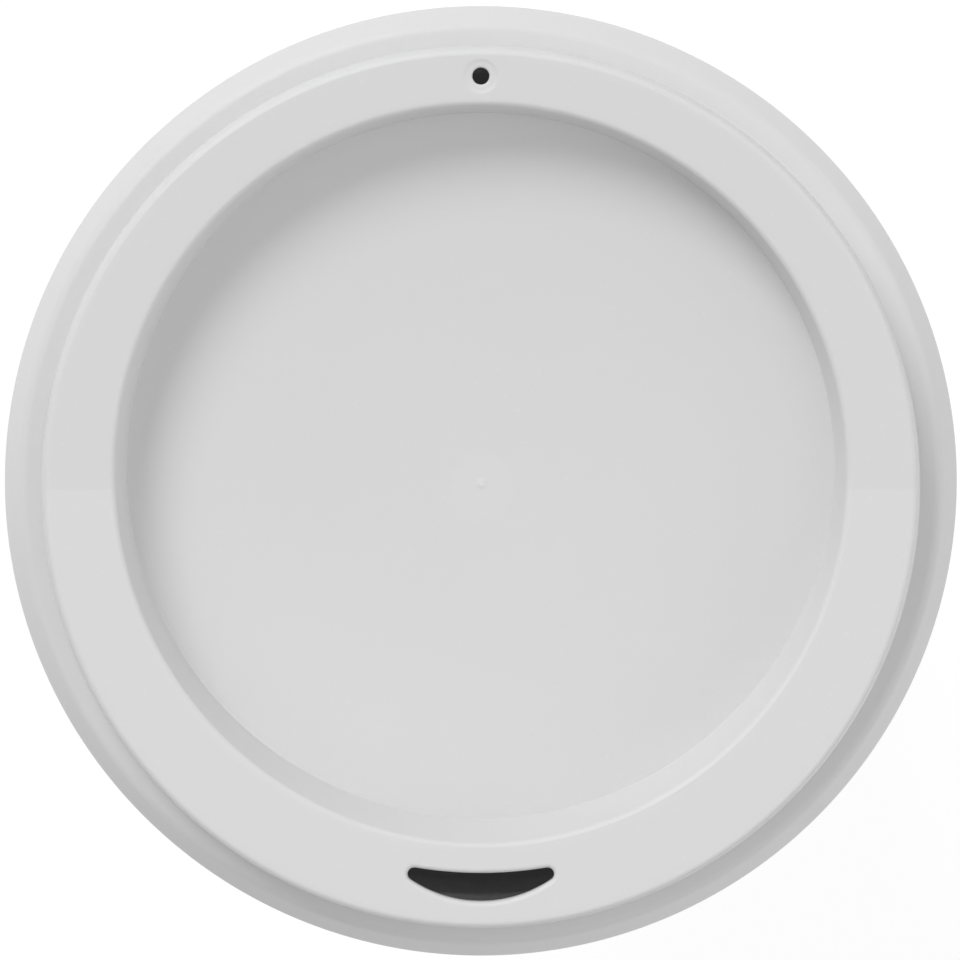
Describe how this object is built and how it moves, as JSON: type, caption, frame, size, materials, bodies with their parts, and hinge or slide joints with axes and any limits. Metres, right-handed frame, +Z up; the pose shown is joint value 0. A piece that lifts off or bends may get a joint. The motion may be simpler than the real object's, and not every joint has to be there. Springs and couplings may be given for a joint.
{
  "type": "reusable coffee cup",
  "caption": "Tapered moulded plastic takeaway cup with a press-on white lid: raised drinking ring with a sunken dish, crescent drinking hole and small vent hole.",
  "frame": {"origin": "middle of the foot ring, on the plane that the cup stands on", "axes": "+Z up along the cup's axis; -Y towards the drinking hole, +Y towards the vent hole; +X to the right as seen from above with the vent hole at the top"},
  "size_m": [0.094, 0.094, 0.1523],
  "materials": {
    "cup": "satin white moulded polypropylene",
    "lid": "satin white moulded polypropylene with a fine grain"
  },
  "bodies": {
    "cup": {"cup": "cup", "cup_base": "cup"},
    "lid": {"lid": "lid"}
  },
  "joints": [
    {"name": "lid_lift", "type": "slide", "parent": "cup", "child": "lid", "axis": [0, 0, 1], "range_m": [0, 0.1]}
  ]
}
